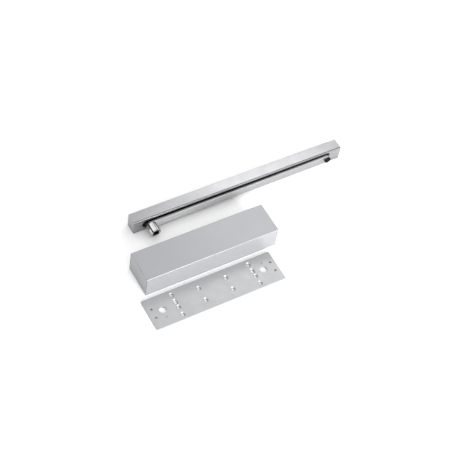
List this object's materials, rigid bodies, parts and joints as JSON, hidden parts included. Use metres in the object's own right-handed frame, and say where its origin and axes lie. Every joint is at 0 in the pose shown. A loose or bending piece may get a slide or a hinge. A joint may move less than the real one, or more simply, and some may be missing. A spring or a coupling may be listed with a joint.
{
  "type": "door closer",
  "caption": "Overhead door closer with a slide arm and guide rail, laid out with its mounting plate; rack-and-pinion spring closer with regulating valves.",
  "frame": {"origin": "centre of the kit's footprint, on the surface it lies on", "axes": "+X along the closer, away from the spindle; +Y from the plate towards the rail, up the door; +Z away from the door, out of the mounting faces"},
  "size_m": [0.517, 0.2336, 0.0477],
  "materials": {
    "satin_cover": "satin silver lacquer on aluminium",
    "brushed_rail": "brushed and anodised aluminium",
    "cast_body": "fine cast aluminium",
    "die_cast_zinc": "die-cast zinc, satin",
    "steel_arm": "bright plated steel",
    "chrome_hub": "polished chrome plate",
    "zinc_plate": "zinc-plated sheet steel",
    "ground_steel": "hardened and ground steel",
    "spring_steel": "oiled spring steel",
    "plated_screw": "plated screw steel",
    "bronze_bush": "sintered bronze",
    "brass_valve": "turned brass",
    "black_plastic": "moulded black plastic",
    "slider_plastic": "black sliding plastic",
    "seal_rubber": "nitrile rubber"
  },
  "bodies": {
    "closer": {"closer_housing": "cast_body", "closer_cover": "satin_cover", "cover_screws": "plated_screw", "end_plug_left": "ground_steel", "end_plug_right": "ground_steel", "plug_seals": "seal_rubber", "upper_bearing": "bronze_bush", "lower_bearing": "bronze_bush", "spindle_seal": "seal_rubber", "spindle_cap": "plated_screw", "closing_spring": "spring_steel", "valve_seals": "seal_rubber", "mounting_plate": "zinc_plate"},
    "spindle": {"spindle": "ground_steel"},
    "piston": {"piston": "ground_steel", "piston_seal": "seal_rubber", "check_valve": "brass_valve"},
    "adjuster": {"power_adjuster": "plated_screw", "adjuster_seal": "seal_rubber"},
    "spring_seat": {"spring_seat": "ground_steel"},
    "closing_valve": {"closing_valve": "brass_valve"},
    "latching_valve": {"latching_valve": "brass_valve"},
    "backcheck_valve": {"backcheck_valve": "brass_valve"},
    "arm": {"main_arm": "steel_arm", "arm_hub": "chrome_hub", "arm_screw": "plated_screw", "pivot_pin": "ground_steel", "pivot_cap": "black_plastic", "pivot_washer": "chrome_hub", "pivot_circlip": "spring_steel"},
    "slider": {"slider_block": "slider_plastic", "slider_bush": "bronze_bush"},
    "rail": {"rail_channel": "brushed_rail", "rail_bracket_left": "die_cast_zinc", "rail_bracket_right": "die_cast_zinc", "rail_set_screws": "plated_screw", "rail_buffer": "seal_rubber"}
  },
  "joints": [
    {"name": "spindle_turn", "type": "hinge", "parent": "closer", "child": "spindle", "pos_m": [-0.1659, -0.0073, 0.0135], "axis": [0, 1, 0], "range_deg": [0, 130], "stiffness_Nm_per_rad": 6, "springref_deg": -68.75},
    {"name": "piston_slide", "type": "slide", "parent": "closer", "child": "piston", "axis": [1, 0, 0], "range_m": [0, 0.0172], "deforming": ["closing_spring"]},
    {"name": "adjuster_turn", "type": "hinge", "parent": "closer", "child": "adjuster", "pos_m": [0.0124, -0.0073, 0.0225], "axis": [-1, 0, 0], "range_deg": [0, 1810]},
    {"name": "spring_seat_slide", "type": "slide", "parent": "closer", "child": "spring_seat", "axis": [-1, 0, 0], "range_m": [0, 0.0075]},
    {"name": "closing_valve_turn", "type": "hinge", "parent": "closer", "child": "closing_valve", "pos_m": [-0.2226, -0.03065, 0.037], "axis": [-1, 0, 0], "range_deg": [-90, 720]},
    {"name": "latching_valve_turn", "type": "hinge", "parent": "closer", "child": "latching_valve", "pos_m": [-0.2226, 0.01605, 0.037], "axis": [-1, 0, 0], "range_deg": [-90, 720]},
    {"name": "backcheck_valve_turn", "type": "hinge", "parent": "closer", "child": "backcheck_valve", "pos_m": [-0.2226, -0.03065, 0.008], "axis": [-1, 0, 0], "range_deg": [-90, 720]},
    {"name": "arm_seat", "type": "slide", "parent": "spindle", "child": "arm", "axis": [0, -1, 0], "range_m": [0, 0.0417]},
    {"name": "pivot_turn", "type": "hinge", "parent": "arm", "child": "slider", "pos_m": [0.22539, 0.09305, 0.0165], "axis": [0, 1, 0], "range_deg": [-120, 120]},
    {"name": "rail_slide", "type": "slide", "parent": "slider", "child": "rail", "axis": [1, 0, 0], "range_m": [-0.0015, 0.385]}
  ],
  "couplings": [
    {"joint": "piston_slide", "follows": "spindle_turn", "m_per_rad": 0.0075},
    {"joint": "adjuster_turn", "follows": "spring_seat_slide", "rad_per_m": 4188.8}
  ]
}
